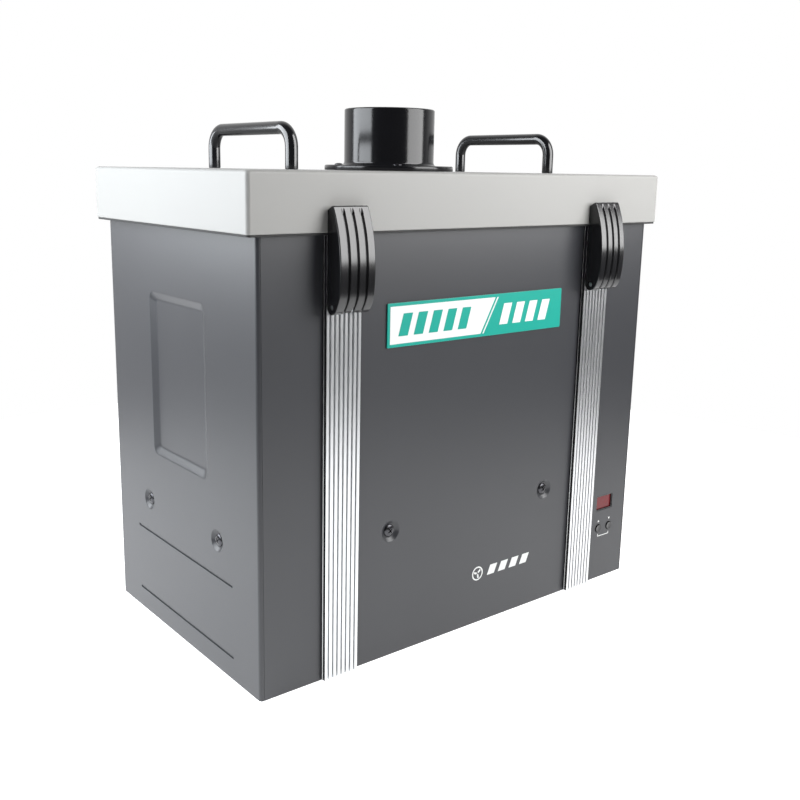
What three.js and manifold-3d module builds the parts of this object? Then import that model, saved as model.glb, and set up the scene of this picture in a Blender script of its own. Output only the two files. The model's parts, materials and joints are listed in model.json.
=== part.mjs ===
// Bench-top solder fume extractor: a sheet steel cabinet with a hinged lid, a hose collar on the lid,
// three stacked filters and a centrifugal blower. Millimetres, +Z up, front towards -Y.
import * as THREE from 'three';
import { mergeVertices } from 'three/addons/utils/BufferGeometryUtils.js';
import Module from 'manifold-3d';

const wasm = await Module();
wasm.setup();

// ---- driving dimensions ----
const gap = 0.3;                 // kept between pieces that touch
const sheet = 1.5;               // cabinet sheet thickness
const bodyWidth = 425;
const bodyDepth = 246.5;
const footHeight = 5;
const wallTop = 380;             // upper edge of the cabinet walls
const lidBottom = 353.5;
const lidTop = 396.5;
const lidOverX = 9.5;            // lid beyond the cabinet, each side
const lidOverY = 4.5;
const bendRadius = 3;            // side panel corner bends
const seam = 0.5;
const deckTop = 122.5;           // filters stand on this
const railX = 141;               // decorative rails and latches, left and right of the middle
const railWidth = 33;
const railProud = 4.2;
const leverWidth = 31.5;
const handleX = 142.5;
const handlePitch = 120;
const handleRod = 5;             // radius
const handleHeight = 36.5;
const spigotOuter = 40;          // radius
const spigotInner = 37;
const spigotHeight = 53.2;
const flangeRadius = 57.5;
const flangeThick = 4.5;
const screwCircle = 49;          // radius that the three collar screws stand on
const caseScrewZ = 113.5;
const frontScrewX = 90;
const sideScrewY = 60;
const hingeY = 130.5;            // lid hinge axis
const hingeZ = 348.5;
const knuckle = 3.2;             // radius
const blowerX = -34;
const filterWidth = 374;
const filterDepth = 196;

const halfW = bodyWidth / 2;
const halfD = bodyDepth / 2;
const innerW = halfW - sheet - gap;      // room inside the walls
const innerD = halfD - sheet - gap;
const cornerRadius = 2;                  // of the pieces that sit inside the panel bends
const cupDepth = 2.4;                    // pressed cup under each case screw
const latchReach = 144.2;                // front of the latch levers
const hingeReach = hingeY + knuckle;     // back of the hinge
const frameShift = (latchReach - hingeReach) / 2;

// ---- shape helpers ----
function merged(geometry) {
  const bare = geometry.index ? geometry.toNonIndexed() : geometry.clone();
  bare.deleteAttribute('normal');
  bare.deleteAttribute('uv');
  return mergeVertices(bare, 1e-4);
}

function solid(geometry) {
  const whole = merged(geometry);
  const corners = whole.attributes.position.array;
  const faces = [];
  for (let i = 0; i < whole.index.count; i += 3) {
    const [a, b, c] = [0, 1, 2].map((k) => whole.index.getX(i + k));
    if (a !== b && b !== c && c !== a) faces.push(a, b, c);
  }
  const mesh = new wasm.Mesh({
    numProp: 3,
    vertProperties: new Float32Array(corners),
    triVerts: new Uint32Array(faces),
  });
  return new wasm.Manifold(mesh);
}

function geometryOf(body) {
  const mesh = body.getMesh();
  const geometry = new THREE.BufferGeometry();
  geometry.setAttribute('position', new THREE.BufferAttribute(new Float32Array(mesh.vertProperties), 3));
  geometry.setIndex(new THREE.BufferAttribute(new Uint32Array(mesh.triVerts), 1));
  return geometry;
}

function join(...geometries) {
  return geometryOf(geometries.map(solid).reduce((all, next) => all.add(next)));
}

function cut(geometry, ...tools) {
  return geometryOf(tools.map(solid).reduce((left, tool) => left.subtract(tool), solid(geometry)));
}

function block(x0, x1, y0, y1, z0, z1) {
  const box = new THREE.BoxGeometry(x1 - x0, y1 - y0, z1 - z0);
  return box.translate((x0 + x1) / 2, (y0 + y1) / 2, (z0 + z1) / 2);
}

// Upright cylinder or cone from z0 to z1.
function rod(radius, z0, z1, x = 0, y = 0, sides = 20, topRadius = radius) {
  const cylinder = new THREE.CylinderGeometry(topRadius, radius, z1 - z0, sides);
  return cylinder.rotateX(Math.PI / 2).translate(x, y, (z0 + z1) / 2);
}

function roundedRect(width, height, radius, cx = 0, cy = 0) {
  const [x, y] = [width / 2 - radius, height / 2 - radius];
  const shape = new THREE.Shape();
  shape.absarc(cx + x, cy - y, radius, -Math.PI / 2, 0);
  shape.absarc(cx + x, cy + y, radius, 0, Math.PI / 2);
  shape.absarc(cx - x, cy + y, radius, Math.PI / 2, Math.PI);
  shape.absarc(cx - x, cy - y, radius, Math.PI, 1.5 * Math.PI);
  return shape;
}

function circle(radius, cx = 0, cy = 0) {
  const path = new THREE.Path();
  path.absarc(cx, cy, radius, 0, 2 * Math.PI);
  return path;
}

// Upright prism of an outline in X and Y.
function prism(shape, z0, z1, curveSegments = 6) {
  const raised = new THREE.ExtrudeGeometry(shape, { depth: z1 - z0, bevelEnabled: false, curveSegments });
  return raised.translate(0, 0, z0);
}

// Prism of an outline in Y and Z, lying along X.
function prismAlongX(shape, x0, x1, curveSegments = 6) {
  const lying = new THREE.ExtrudeGeometry(shape, { depth: x1 - x0, bevelEnabled: false, curveSegments });
  const [x, y, z] = [new THREE.Vector3(1, 0, 0), new THREE.Vector3(0, 1, 0), new THREE.Vector3(0, 0, 1)];
  return lying.applyMatrix4(new THREE.Matrix4().makeBasis(y, z, x)).translate(x0, 0, 0);
}

// Rounded block whose outline shrinks by inset from the top down.
function frustum(width, height, radius, inset, zTop, zBottom) {
  const geometry = prism(roundedRect(width, height, radius), zBottom, zTop, 2);
  const place = geometry.attributes.position;
  for (let i = 0; i < place.count; i += 1) {
    if (place.getZ(i) < (zTop + zBottom) / 2) {
      place.setX(i, place.getX(i) * (width - 2 * inset) / width);
      place.setY(i, place.getY(i) * (height - 2 * inset) / height);
    }
  }
  return geometry;
}

// Each cabinet side has a local frame: X along the side, Y up, Z outward.
const sides = {
  front: { along: [1, 0, 0], out: [0, -1, 0], reach: halfD },
  rear: { along: [-1, 0, 0], out: [0, 1, 0], reach: halfD },
  left: { along: [0, -1, 0], out: [-1, 0, 0], reach: halfW },
  right: { along: [0, 1, 0], out: [1, 0, 0], reach: halfW },
};

// at is the world X on the front and rear, the world Y on the left and right.
function sideMatrix(name, at, z) {
  const side = sides[name];
  const along = new THREE.Vector3(...side.along);
  const out = new THREE.Vector3(...side.out);
  const place = out.clone().multiplyScalar(side.reach);
  place.addScaledVector(along, at * (along.x + along.y));
  return new THREE.Matrix4().makeBasis(along, new THREE.Vector3(0, 0, 1), out).setPosition(place.x, place.y, z);
}

function onSide(geometry, name, at, z) {
  return geometry.applyMatrix4(sideMatrix(name, at, z));
}

// ---- finishes ----
const finishes = {
  greyPowder: { color: 0x54565b, roughness: 0.5, metalness: 0.2 },
  whitePowder: { color: 0xd6d5d1, roughness: 0.45, metalness: 0.1 },
  zincSteel: { color: 0xb4b8ba, roughness: 0.4, metalness: 0.9 },
  aluminium: { color: 0xd0d2d4, roughness: 0.3, metalness: 1 },
  blackGloss: { color: 0x0b0b0d, roughness: 0.15, metalness: 0.1 },
  blackPlastic: { color: 0x17181a, roughness: 0.35, metalness: 0 },
  blackSteel: { color: 0x101113, roughness: 0.3, metalness: 0.8 },
  rubber: { color: 0x1a1a1a, roughness: 0.85, metalness: 0 },
  foam: { color: 0x2b2c2e, roughness: 0.95, metalness: 0 },
  teal: { color: 0x14a894, roughness: 0.3, metalness: 0 },
  redWindow: { color: 0x7c1420, roughness: 0.15, metalness: 0 },
  circuit: { color: 0x1f6b3a, roughness: 0.5, metalness: 0 },
  filterPaper: { color: 0xe9e6da, roughness: 0.9, metalness: 0 },
  filterBoard: { color: 0xc9a46a, roughness: 0.85, metalness: 0 },
  charcoal: { color: 0x232323, roughness: 0.9, metalness: 0 },
  redRocker: { color: 0xb3202a, roughness: 0.3, metalness: 0 },
};

const assembly = new THREE.Group();
assembly.position.y = frameShift;

function add(name, geometry, finish) {
  const mesh = new THREE.Mesh(merged(geometry), new THREE.MeshStandardMaterial(finishes[finish]));
  mesh.name = name;
  assembly.add(mesh);
  return mesh;
}

// ---- cabinet ----
// Side panel with its two upright edges bent round the corners, seen from above: y runs inward from its face.
function bentPanelOutline() {
  const inner = bendRadius - sheet;
  const [x, y, tail] = [halfD - bendRadius, bendRadius, 0.2];
  const shape = new THREE.Shape();
  shape.moveTo(-halfD, y + tail);
  shape.absarc(-x, y, bendRadius, Math.PI, 1.5 * Math.PI);
  shape.absarc(x, y, bendRadius, 1.5 * Math.PI, 2 * Math.PI);
  shape.lineTo(halfD, y + tail);
  shape.lineTo(halfD - sheet, y + tail);
  shape.absarc(x, y, inner, 2 * Math.PI, 1.5 * Math.PI, true);
  shape.absarc(-x, y, inner, 1.5 * Math.PI, Math.PI, true);
  shape.lineTo(-halfD + sheet, y + tail);
  return shape;
}

// Material pressed inward under a case screw, and the cup and hole that are cut from it.
function cupBoss() {
  return rod(9.6, -sheet - cupDepth, -0.2, 0, 0, 16);
}

function cupCut() {
  return join(rod(6, -cupDepth, 0.1, 0, 0, 16, 8.6), rod(2.6, -9, -1, 0, 0, 8));
}

const displayAt = { x: 179.5, z: 82.7, width: 23.5, height: 15 };
const buttonXs = { left: 172.3, right: 188 };
const buttonZ = 57;

// Front or rear wall between the two bends, in its local frame.
function flatWall() {
  const half = halfW - bendRadius - 0.2 - seam;
  return block(-half, half, footHeight, wallTop, -sheet, 0);
}

function frontPanel() {
  let panel = onSide(flatWall(), 'front', 0, 0);
  for (const x of [-frontScrewX, frontScrewX]) {
    panel = cut(join(panel, onSide(cupBoss(), 'front', x, caseScrewZ)), onSide(cupCut(), 'front', x, caseScrewZ));
  }
  const window = prism(roundedRect(displayAt.width, displayAt.height, 0.8), -4, 1, 2);
  const holes = Object.values(buttonXs).map((x) => onSide(rod(4.3, -4, 1, 0, 0, 16), 'front', x, buttonZ));
  return cut(panel, onSide(window, 'front', displayAt.x, displayAt.z), ...holes);
}

// Side panel in its local frame, with its pressed dish, two grooves and two screw cups.
const dish = { width: 94, height: 139, depth: 3, slope: 7, radius: 7, z: 228 };

function sidePanel(name) {
  const wall = prism(bentPanelOutline(), footHeight, wallTop, 4).applyMatrix4(new THREE.Matrix4().set(
    1, 0, 0, 0, 0, 0, 1, 0, 0, -1, 0, 0, 0, 0, 0, 1));
  const skin = sheet * 0.7;
  const bump = frustum(dish.width + 2 * skin, dish.height + 2 * skin, dish.radius, dish.slope,
    -0.5, -dish.depth - sheet).translate(0, dish.z, 0);
  const pocket = frustum(dish.width, dish.height, dish.radius, dish.slope, 0, -dish.depth).translate(0, dish.z, 0);
  const grooves = [24, 83.5].map((z) => prism(roundedRect(167, 1.8, 0.85, 0, z), -0.8, 1, 1));
  const cups = [-sideScrewY, sideScrewY];
  const bosses = cups.map((y) => cupBoss().translate(y, caseScrewZ, 0));
  const holes = cups.map((y) => cupCut().translate(y, caseScrewZ, 0));
  const panel = cut(join(wall, bump, ...bosses), pocket, ...grooves, ...holes);
  return onSide(panel, name, 0, 0);
}

const grilleAt = { x: 70, z: 74, width: 100, height: 72 };
const inletAt = { x: -150, z: 50 };
const switchAt = { x: -150, z: 88 };

function rearPanel() {
  const panel = onSide(flatWall(), 'rear', 0, 0);
  const cutout = (at, width, height) => onSide(
    prism(roundedRect(width, height, 2), -4, 1, 2), 'rear', at.x, at.z);
  return cut(panel, cutout(grilleAt, grilleAt.width - 12, grilleAt.height - 12),
    cutout(inletAt, 29, 22), cutout(switchAt, 23, 15));
}

function basePan() {
  const tray = prism(roundedRect(2 * innerW, 2 * innerD, cornerRadius), footHeight, footHeight + 18, 3);
  const inside = innerW - sheet;
  const hollow = block(-inside, inside, -innerD + sheet, innerD - sheet, footHeight + sheet, footHeight + 19);
  return cut(tray, hollow);
}

// Upright angle in one corner, held clear of the base tray and the rim.
function cornerPost(signX, signY) {
  const [leg, z0, z1] = [14, footHeight + 18 + gap, wallTop - 16];
  const shape = new THREE.Shape();
  shape.moveTo(leg, 0);
  shape.lineTo(leg, sheet);
  shape.lineTo(sheet, sheet);
  shape.lineTo(sheet, leg);
  shape.lineTo(0, leg);
  shape.absarc(cornerRadius, cornerRadius, cornerRadius, Math.PI, 1.5 * Math.PI);
  const turn = { '-1,-1': 0, '1,-1': 1, '1,1': 2, '-1,1': 3 }[`${signX},${signY}`];
  return prism(shape, z0, z1, 3).rotateZ(turn * Math.PI / 2).translate(signX * innerW, signY * innerD, 0);
}

// Divider that the case screws hold: filters above, blower below.
function filterDeck() {
  const [x, y] = [halfW - sheet - cupDepth - gap - 0.2, halfD - sheet - cupDepth - gap - 0.2];
  const notch = 20;
  const [low, top] = [deckTop - 17, deckTop];
  const plate = join(block(-x, x, -y + notch, y - notch, top - sheet, top),
    block(-x + notch, x - notch, -y, y, top - sheet, top));
  const flanges = [-1, 1].flatMap((s) => [
    block(-x + notch, x - notch, Math.min(s * y, s * (y - sheet)), Math.max(s * y, s * (y - sheet)), low, top),
    block(Math.min(s * x, s * (x - sheet)), Math.max(s * x, s * (x - sheet)), -y + notch, y - notch, low, top),
  ]);
  const screwHoles = [-1, 1].flatMap((s) => ['front', 'rear', 'left', 'right'].map((side) => {
    const along = side === 'front' || side === 'rear' ? frontScrewX : sideScrewY;
    return onSide(rod(2.5, -12, -1, 0, 0, 8), side, s * along, caseScrewZ);
  })).filter((hole, i) => i % 4 !== 1);
  const intake = rod(52, top - 4, top + 2, blowerX, 0, 28);
  return cut(join(plate, ...flanges), intake, ...screwHoles);
}

function ring(outerX, outerY, wallWidth, z0, z1, radius) {
  const shape = roundedRect(2 * outerX, 2 * outerY, radius);
  const inner = roundedRect(2 * (outerX - wallWidth), 2 * (outerY - wallWidth), Math.max(radius - wallWidth, 0.5));
  shape.holes.push(new THREE.Path(inner.getPoints(3)));
  return prism(shape, z0, z1, 3);
}

function topRim() {
  return join(ring(innerW, innerD, 18, wallTop - sheet, wallTop, cornerRadius),
    ring(innerW, innerD, sheet, wallTop - 14, wallTop, cornerRadius));
}

// Aluminium rail: a flat back with eight square ribs, seen from above.
function rail(x) {
  const [count, back, front] = [8, -halfD - gap, -halfD - gap - railProud + 0.3];
  const pitch = railWidth / count;
  const left = x - railWidth / 2;
  const shape = new THREE.Shape();
  shape.moveTo(left, back);
  for (let i = 0; i < count; i += 1) {
    shape.lineTo(left + i * pitch, i === 0 ? front : front + 1.4);
    shape.lineTo(left + (i + 0.14) * pitch, front);
    shape.lineTo(left + (i + 0.72) * pitch, front);
    shape.lineTo(left + (i + 0.86) * pitch, front + 1.4);
  }
  shape.lineTo(left + railWidth, front + 1.4);
  shape.lineTo(left + railWidth, back);
  return prism(shape, footHeight + 0.5, lidBottom - 2);
}

function foot() {
  return join(rod(17.5, 0, 1.2, 0, 0, 20, 19), rod(19, 1.2, footHeight - gap, 0, 0, 20));
}

function caseScrew() {
  return join(rod(5.2, -cupDepth + gap, -0.5, 0, 0, 12, 4.2), rod(2.1, -8, -cupDepth + gap + 0.2, 0, 0, 8));
}

// ---- latches ----
// The lever is a crescent on a pin low behind it; its top end lies over the lid.
const pivot = { y: -133.4, z: 300.6, radius: 5 };
const leverBack = -halfD - lidOverY - 0.35;
const leverCurve = 5;

function acrossPivot(x, half, radius) {
  return rod(radius, -half, half, 0, 0, 12).rotateY(Math.PI / 2).translate(x, pivot.y, pivot.z);
}

function leverOutline() {
  const shape = new THREE.Shape();
  shape.moveTo(leverBack, 369.5);
  shape.lineTo(leverBack, pivot.z);
  shape.absarc(pivot.y, pivot.z, leverBack - pivot.y, 0, -Math.PI / 2, true);
  shape.quadraticCurveTo(-140.6, 296, -142.9, 309);
  shape.quadraticCurveTo(-145.3, 325.5, -143.1, 342);
  shape.quadraticCurveTo(-141.6, 356, -134.9, 371);
  shape.lineTo(-133.4, 372.8);
  return shape;
}

function lever(x) {
  const crescent = prismAlongX(leverOutline(), x - leverWidth / 2, x + leverWidth / 2, leverCurve);
  const slots = [-1, 0, 1].map((i) => {
    const at = x + i * 7.6;
    const band = prismAlongX(leverOutline(), at - 0.9, at + 0.9, leverCurve).translate(0, -1, 0);
    const core = prismAlongX(leverOutline(), at - 1, at + 1, leverCurve).translate(0, 1.6, 0);
    return cut(band, core, block(at - 2, at + 2, -160, -120, 368.5, 380), block(at - 2, at + 2, -160, -120, 290, 297.5));
  });
  const pocket = join(block(x - 7, x + 7, pivot.y, -120, pivot.z - 1, pivot.z + 3.5),
    block(x - 7, x + 7, pivot.y - 3.4, -120, 290, pivot.z), acrossPivot(x, 7, 4.4));
  return cut(crescent, pocket, acrossPivot(x, 20, 2.3), ...slots);
}

function leverBracket(x) {
  const face = -halfD - railProud - gap;
  const lug = join(block(x - 6.5, x + 6.5, pivot.y, face, pivot.z - 3, pivot.z + 3), acrossPivot(x, 6.5, 4));
  return cut(lug, acrossPivot(x, 20, 2.3));
}

function leverPin(x) {
  return acrossPivot(x, leverWidth / 2 - 0.5, 2);
}

// ---- lid and what rides on it ----
const lidX = halfW + lidOverX;
const lidY = halfD + lidOverY;
const screwPlaces = [0, 120, 240].map((degrees) => degrees * Math.PI / 180)
  .map((turn) => [screwCircle * Math.cos(turn), screwCircle * Math.sin(turn)]);

function lid() {
  const shell = cut(prism(roundedRect(2 * lidX, 2 * lidY, 2.5), lidBottom, lidTop, 4),
    prism(roundedRect(2 * (lidX - sheet), 2 * (lidY - sheet), 1), lidBottom - 1, lidTop - sheet, 3));
  const screwHoles = screwPlaces.map(([x, y]) => rod(1.9, 390, 400, x, y, 8));
  return cut(shell, rod(spigotInner + 1, 390, 400, 0, 0, 36), ...screwHoles);
}

function lidGasket() {
  return ring(innerW - 2, innerD - 2, 12, wallTop + gap, lidTop - sheet - gap, 6);
}

function spigot() {
  const plate = new THREE.Shape(circle(flangeRadius).getPoints(24));
  plate.holes.push(circle(spigotInner));
  const wall = new THREE.Shape(circle(spigotOuter).getPoints(20));
  wall.holes.push(circle(spigotInner));
  const [z0, z1] = [lidTop + gap, lidTop + gap + flangeThick];
  const screwHoles = screwPlaces.map(([x, y]) => rod(1.9, 390, 405, x, y, 8));
  return cut(join(prism(plate, z0, z1, 20), prism(wall, z0, lidTop + spigotHeight, 20)), ...screwHoles);
}

function collarScrew(x, y) {
  const seat = lidTop + gap + flangeThick + gap;
  return join(rod(3.6, seat, seat + 2, x, y, 12, 2.6), rod(1.5, seat - 8, seat + 0.5, x, y, 8));
}

// Round bar bent up from the lid, along and down again, running front to back.
class HandlePath extends THREE.Curve {
  getPoint(t, target = new THREE.Vector3()) {
    const [bend, half, base] = [15, handlePitch / 2, lidTop + gap];
    const top = lidTop + handleHeight - handleRod;
    const rise = top - bend - base;
    const arc = bend * Math.PI / 2;
    const flat = 2 * (half - bend);
    const run = t * (2 * rise + 2 * arc + flat);
    const side = run > rise + arc + flat / 2 ? 1 : -1;
    const along = side < 0 ? run : 2 * rise + 2 * arc + flat - run;
    if (along <= rise) return target.set(0, side * half, base + along);
    if (along <= rise + arc) {
      const turn = (along - rise) / bend;
      return target.set(0, side * (half - bend + bend * Math.cos(turn)), top - bend + bend * Math.sin(turn));
    }
    return target.set(0, side * (half - bend - (along - rise - arc)), top);
  }
}

function handle(x) {
  const section = new THREE.Shape(circle(handleRod).getPoints(6));
  const bar = new THREE.ExtrudeGeometry(section, {
    steps: 30, extrudePath: new HandlePath(), bevelEnabled: false, curveSegments: 1,
  });
  return bar.translate(x, 0, 0);
}

// Continuous hinge: leaves with interleaved knuckles on one pin. Odd knuckles belong to the lid.
const hingeLength = 380;
const knuckleCount = 7;

function knuckles(firstIndex) {
  const pitch = hingeLength / knuckleCount;
  const pieces = [];
  for (let i = firstIndex; i < knuckleCount; i += 2) {
    const x0 = -hingeLength / 2 + i * pitch;
    pieces.push({ x0: x0 + 0.25, x1: x0 + pitch - 0.25 });
  }
  return pieces;
}

function hingeBarrel({ x0, x1 }, r) {
  return rod(r, x0, x1, 0, 0, 12).rotateY(Math.PI / 2).translate(0, hingeY, hingeZ);
}

function leaf(firstIndex, plate, web) {
  const parts = knuckles(firstIndex).flatMap((span) => [hingeBarrel(span, knuckle), web(span)]);
  return cut(join(plate, ...parts), hingeBarrel({ x0: -hingeLength, x1: hingeLength }, 1.5));
}

function bodyLeaf() {
  const [y0, y1] = [halfD + gap, halfD + gap + 1.3];
  const plate = block(-hingeLength / 2, hingeLength / 2, y0, y1, 318, 343);
  const web = ({ x0, x1 }) => {
    const shape = new THREE.Shape();
    shape.moveTo(y0, 339);
    shape.lineTo(y1, 339);
    shape.lineTo(hingeY + 0.5, hingeZ - 2.6);
    shape.lineTo(hingeY - 2, hingeZ - 0.5);
    shape.lineTo(y0, 342.9);
    return prismAlongX(shape, x0, x1);
  };
  return leaf(0, plate, web);
}

function lidLeaf() {
  const [y0, y1] = [lidY + gap, lidY + gap + 1.3];
  const plate = block(-hingeLength / 2, hingeLength / 2, y0, y1, lidBottom + 0.5, lidBottom + 26);
  return leaf(1, plate, ({ x0, x1 }) => block(x0, x1, y0, y1, hingeZ, lidBottom + 2));
}

// ---- front panel fittings ----
function badge() {
  return onSide(prism(roundedRect(196, 34.5, 1, 0, 0), gap, gap + 1, 2), 'front', 0, 281);
}

function displayWindow() {
  const pane = prism(roundedRect(28, 20, 1.5), -sheet - gap - 2, -sheet - gap, 2);
  return onSide(pane, 'front', displayAt.x, displayAt.z);
}

function button(x) {
  const cap = join(rod(3.9, -5, 0.9, 0, 0, 16), rod(5, -3.2, -sheet - gap, 0, 0, 16));
  return onSide(cap, 'front', x, buttonZ);
}

function controlBoard() {
  const board = block(-24, 24, -34, 28, -12, -10.4);
  const segments = block(-14, 14, 9, 23, -10.5, -5.2);
  const keys = [-7.3, 8.4].map((x) => block(x - 3, x + 3, -23, -17, -10.5, -8.4));
  return onSide(join(board, segments, ...keys), 'front', displayAt.x - 0.2, 66.7);
}

// ---- filters ----
// Open case round a medium, which lies below the top edge and above the bottom edge.
function filterBlock(z0, z1, wall, recess, under) {
  const [x, y] = [filterWidth / 2, filterDepth / 2];
  const hollow = (low, high) => block(-x + wall, x - wall, -y + wall, y - wall, low, high);
  return cut(block(-x, x, -y, y, z0, z1), hollow(z1 - recess, z1 + 1), hollow(z0 - 1, z0 + under));
}

// ---- blower ----
const blower = { base: 30, top: deckTop - sheet - gap, wall: 2, mouth: 117, tongue: { x: 6, y: 76 } };

// Scroll that widens to its outlet, which runs straight back.
function scrollOutline(offset) {
  const shape = new THREE.Shape();
  const steps = 15;
  shape.moveTo(102 - offset, 0);
  for (let i = 1; i <= steps; i += 1) {
    const angle = -1.5 * Math.PI * (i / steps);
    const radius = 102 - 20 * (i / steps) - offset;
    shape.lineTo(radius * Math.cos(angle), radius * Math.sin(angle));
  }
  const mouth = blower.mouth + (offset ? 3 : 0);
  shape.lineTo(blower.tongue.x + offset, blower.tongue.y);
  shape.lineTo(blower.tongue.x + offset, mouth);
  shape.lineTo(102 - offset, mouth);
  return shape;
}

function blowerHousing() {
  const shell = prism(scrollOutline(0), blower.base, blower.top);
  const room = prism(scrollOutline(blower.wall), blower.base + blower.wall, blower.top - blower.wall);
  const eye = rod(50, blower.top - 5, blower.top + 2, 0, 0, 24);
  return cut(shell, room, eye).translate(blowerX, 0, 0);
}

function motor() {
  const z0 = blower.base + blower.wall + gap;
  return join(rod(36, z0, z0 + 34, 0, 0, 20), rod(30, z0 + 33, z0 + 40, 0, 0, 20)).translate(blowerX, 0, 0);
}

// Backward-curved wheel: hub, back plate, blades and an open shroud.
function impeller() {
  const z0 = blower.base + blower.wall + gap + 40 + gap;
  const bladeTop = blower.top - blower.wall - 7;
  const parts = [rod(13, z0, z0 + 24, 0, 0, 16), rod(72, z0 + 2, z0 + 4, 0, 0, 24)];
  const blade = new THREE.Shape();
  blade.absarc(0, 0, 40, 0.3, 1.35);
  blade.absarc(0, 0, 38, 1.35, 0.3, true);
  const count = 7;
  for (let i = 0; i < count; i += 1) {
    const vane = prism(blade, z0 + 3.5, bladeTop + 0.5, 3).translate(30, -13, 0);
    parts.push(vane.rotateZ((2 * Math.PI * i) / count));
  }
  const shroud = new THREE.Shape(circle(72).getPoints(12));
  shroud.holes.push(circle(47));
  parts.push(prism(shroud, bladeTop, bladeTop + 2, 12));
  return join(...parts).translate(blowerX, 0, 0);
}

function exhaustGrille() {
  const { x, z, width, height } = grilleAt;
  const plate = prism(roundedRect(width, height, 4), gap, gap + 2, 3);
  const slots = [];
  for (let i = -4; i <= 4; i += 1) {
    slots.push(block(-width / 2 + 11, width / 2 - 11, i * 6.2 - 1.7, i * 6.2 + 1.7, -1, 4));
  }
  return onSide(cut(plate, ...slots), 'rear', x, z);
}

// ---- mains side ----
function mainsInlet() {
  const bezel = prism(roundedRect(48, 27, 4), gap, gap + 2.2, 3);
  const shell = prism(roundedRect(28, 21, 2), -22, gap + 1, 2);
  const cavity = prism(roundedRect(24.4, 16.6, 3), -16, 4, 3);
  const pins = [[-7, 2], [7, 2], [0, -2.5]].map(([x, y]) => block(x - 1, x + 1, y - 2, y + 2, -17, -4.5));
  return onSide(join(cut(join(bezel, shell), cavity), ...pins), 'rear', inletAt.x, inletAt.z);
}

function switchHousing() {
  const bezel = prism(roundedRect(27, 19, 1.5), gap, gap + 1.8, 2);
  const shell = prism(roundedRect(22, 14, 1.5), -18, gap + 1, 2);
  const cavity = block(-9.2, 9.2, -5.4, 5.4, -10, 4);
  return onSide(cut(join(bezel, shell), cavity), 'rear', switchAt.x, switchAt.z);
}

// The rocker tips about an upright axis through its centre of curvature.
const rockerAxis = -1.5;

function powerRocker() {
  const shape = new THREE.Shape();
  shape.moveTo(-8.6, rockerAxis - 1.6);
  shape.lineTo(-8.6, 2.2);
  shape.lineTo(0, 2.8);
  shape.lineTo(7.2, 5.2);
  shape.lineTo(8.6, rockerAxis - 0.4);
  shape.absarc(0, rockerAxis, 4.4, -0.35, -Math.PI + 0.35, true);
  const tip = new THREE.ExtrudeGeometry(shape, { depth: 10, bevelEnabled: false, curveSegments: 6 });
  tip.translate(0, 0, -5).rotateX(Math.PI / 2);
  return onSide(tip, 'rear', switchAt.x, switchAt.z);
}

function powerBoard() {
  const [x0, y0, z0] = [128, -70, footHeight + sheet];
  const board = block(x0, x0 + 72, y0, y0 + 150, z0 + 6, z0 + 7.6);
  const posts = [[8, 8], [64, 8], [8, 142], [64, 142]].map(([x, y]) => rod(3, z0 + gap, z0 + 6.5, x0 + x, y0 + y, 8));
  const parts = [
    block(x0 + 10, x0 + 48, y0 + 20, y0 + 56, z0 + 7, z0 + 38),
    block(x0 + 56, x0 + 66, y0 + 60, y0 + 120, z0 + 7, z0 + 36),
    rod(11, z0 + 7, z0 + 40, x0 + 24, y0 + 84, 12),
    rod(11, z0 + 7, z0 + 40, x0 + 24, y0 + 112, 12),
  ];
  return join(board, ...posts, ...parts);
}

// ---- assembly ----
add('base_pan', basePan(), 'zincSteel');
add('front_panel', frontPanel(), 'greyPowder');
add('rear_panel', rearPanel(), 'greyPowder');
add('left_panel', sidePanel('left'), 'greyPowder');
add('right_panel', sidePanel('right'), 'greyPowder');
add('filter_deck', filterDeck(), 'zincSteel');
add('top_rim', topRim(), 'zincSteel');

for (const [word, signY] of [['front', -1], ['rear', 1]]) {
  for (const [hand, signX] of [['left', -1], ['right', 1]]) {
    add(`${word}_${hand}_post`, cornerPost(signX, signY), 'zincSteel');
    add(`${word}_${hand}_foot`, foot().translate(signX * 150, signY * 88, 0), 'rubber');
  }
}

for (const [hand, sign] of [['left', -1], ['right', 1]]) {
  const x = sign * railX;
  add(`${hand}_rail`, rail(x), 'aluminium');
  add(`${hand}_latch_lever`, lever(x), 'blackPlastic');
  add(`${hand}_latch_bracket`, leverBracket(x), 'zincSteel');
  add(`${hand}_latch_pin`, leverPin(x), 'zincSteel');
  add(`${hand}_handle`, handle(sign * handleX), 'blackSteel');
  add(`${hand}_button`, button(buttonXs[hand]), 'blackPlastic');
  add(`front_${hand}_screw`, onSide(caseScrew(), 'front', sign * frontScrewX, caseScrewZ), 'blackSteel');
  for (const [word, signY] of [['front', -1], ['rear', 1]]) {
    add(`${hand}_side_${word}_screw`, onSide(caseScrew(), hand, signY * sideScrewY, caseScrewZ), 'blackSteel');
  }
}

add('lid', lid(), 'whitePowder');
add('lid_gasket', lidGasket(), 'foam');
add('lid_hinge_leaf', lidLeaf(), 'zincSteel');
add('body_hinge_leaf', bodyLeaf(), 'zincSteel');
add('hinge_pin', hingeBarrel({ x0: -hingeLength / 2, x1: hingeLength / 2 }, 1.2), 'zincSteel');
add('hose_collar', spigot(), 'blackGloss');
screwPlaces.forEach(([x, y], i) => add(`collar_screw_${i + 1}`, collarScrew(x, y), 'blackSteel'));

add('badge_plate', badge(), 'teal');
add('display_window', displayWindow(), 'redWindow');
add('control_board', controlBoard(), 'circuit');

add('carbon_filter', filterBlock(deckTop + gap, 202.5, 4, 3, 40), 'charcoal');
add('main_filter', filterBlock(203, 338.5, 8, 4, 100), 'filterBoard');
add('pre_filter', filterBlock(339, 359, 8, 2, 6), 'filterPaper');

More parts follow.
